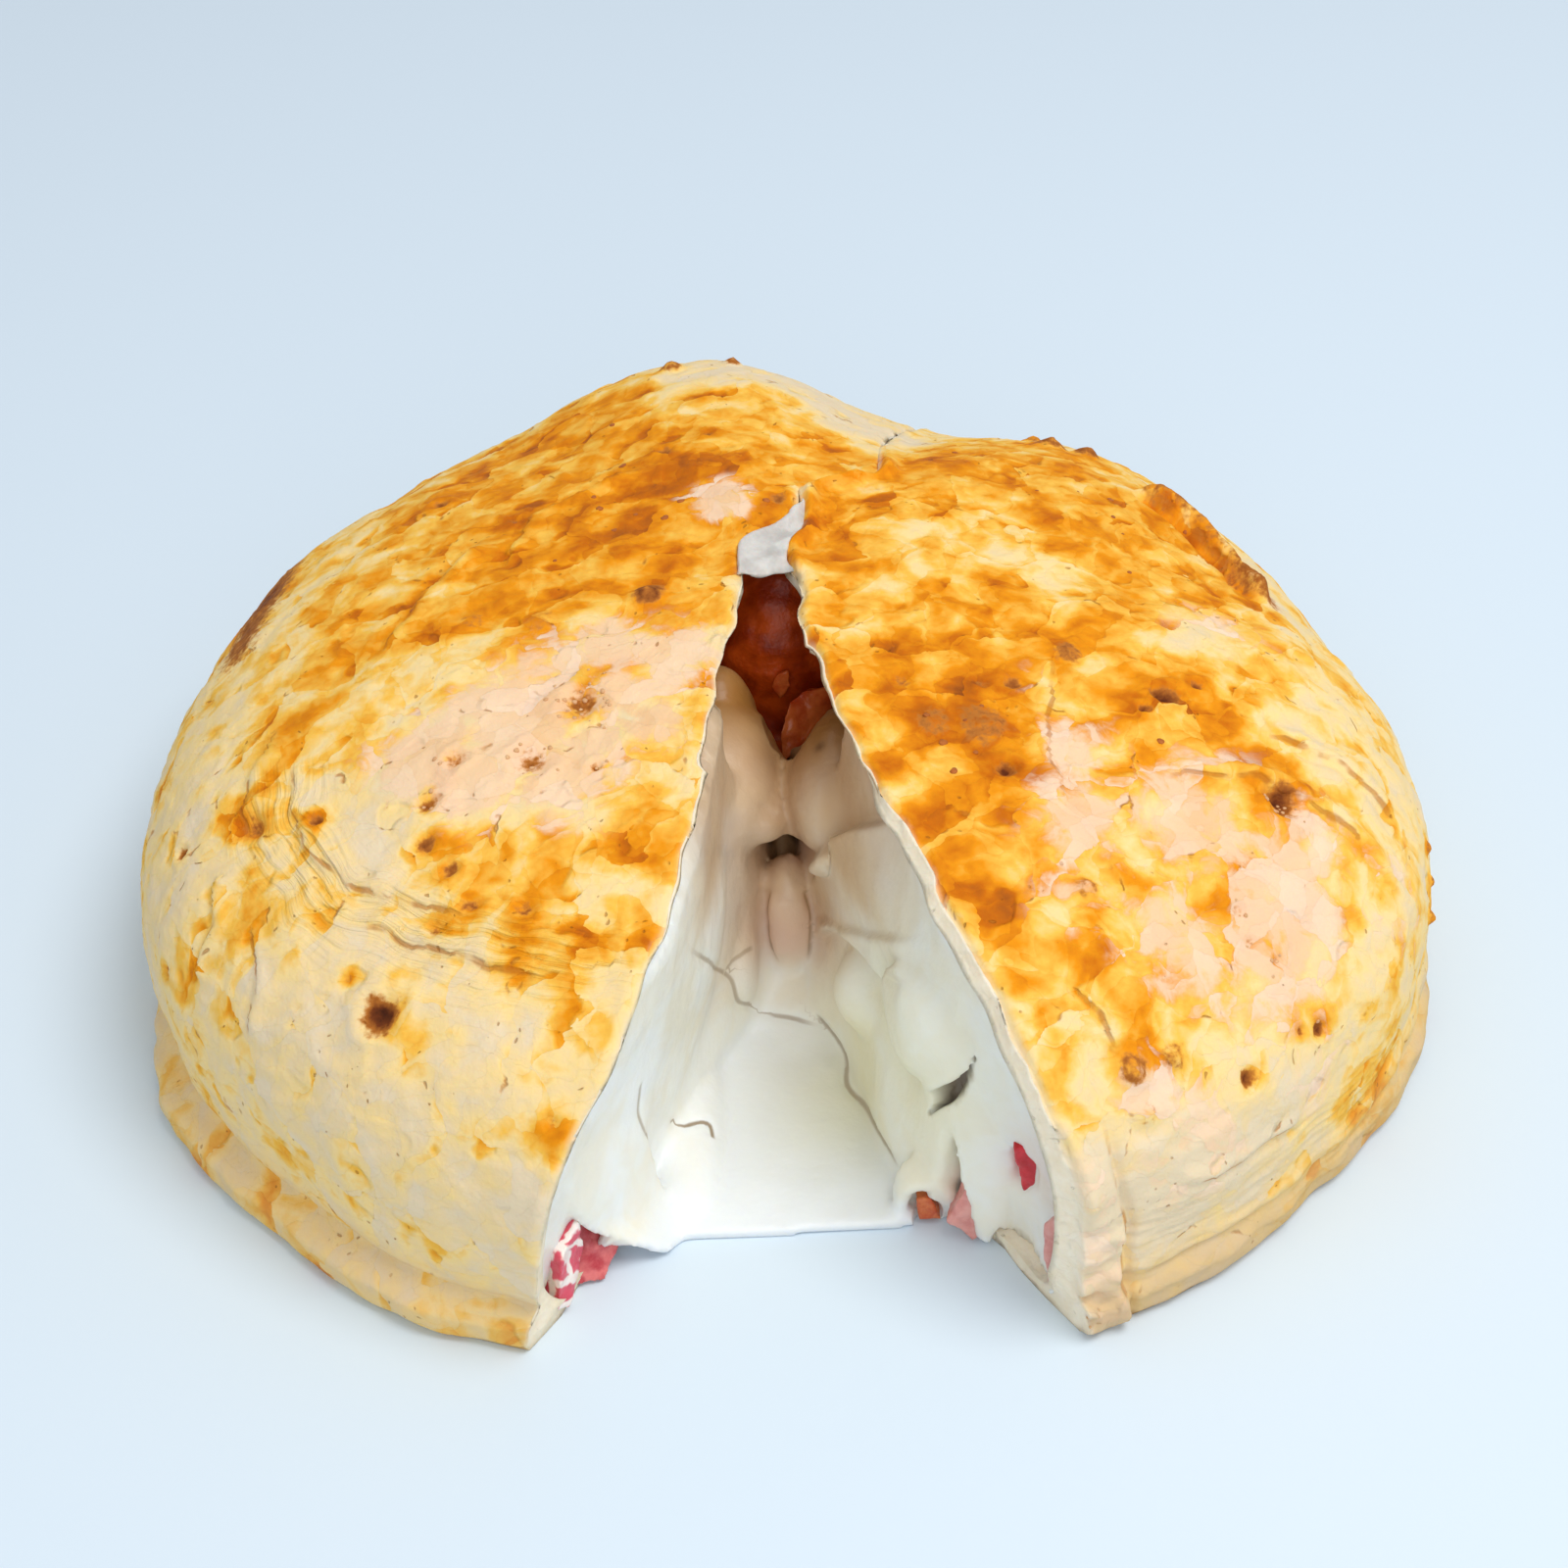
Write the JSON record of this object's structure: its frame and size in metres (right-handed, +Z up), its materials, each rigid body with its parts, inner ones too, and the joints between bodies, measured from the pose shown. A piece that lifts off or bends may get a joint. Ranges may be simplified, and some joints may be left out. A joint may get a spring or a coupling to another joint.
{
  "type": "closed pide",
  "caption": "Round domed closed pide with one wedge cut out, the cut carried through the crown, and melted cheese, tomato and cured meat showing inside.",
  "frame": {"origin": "middle of the underside of the bounding box, on the surface the pide rests on", "axes": "+Z up through the crown, -Y towards the open wedge, +X to the right of someone facing the wedge"},
  "size_m": [0.2482, 0.2442, 0.0805],
  "materials": {
    "crust": "baked dough, cream to golden with brown blisters",
    "cheese": "melted white cheese, softly glossy",
    "web": "thin stretched dough and cheese, greyish white",
    "tomato": "moist red-brown tomato filling",
    "tomato_chunk": "moist orange-red tomato",
    "salami": "cured sausage, red-pink with white fat",
    "pepper": "moist red pepper",
    "ham": "pink cooked ham"
  },
  "bodies": {
    "root": {"crust_left": "crust", "crust_right": "crust", "cheese": "cheese", "tip_web": "web", "tomato_filling": "tomato", "tomato_chunk_front": "tomato_chunk", "tomato_chunk_back": "tomato_chunk", "salami_left_tall": "salami", "salami_left_cube": "salami", "pepper_strip": "pepper", "ham_triangle": "ham", "pepper_bit": "pepper", "ham_strip": "ham"}
  },
  "joints": []
}
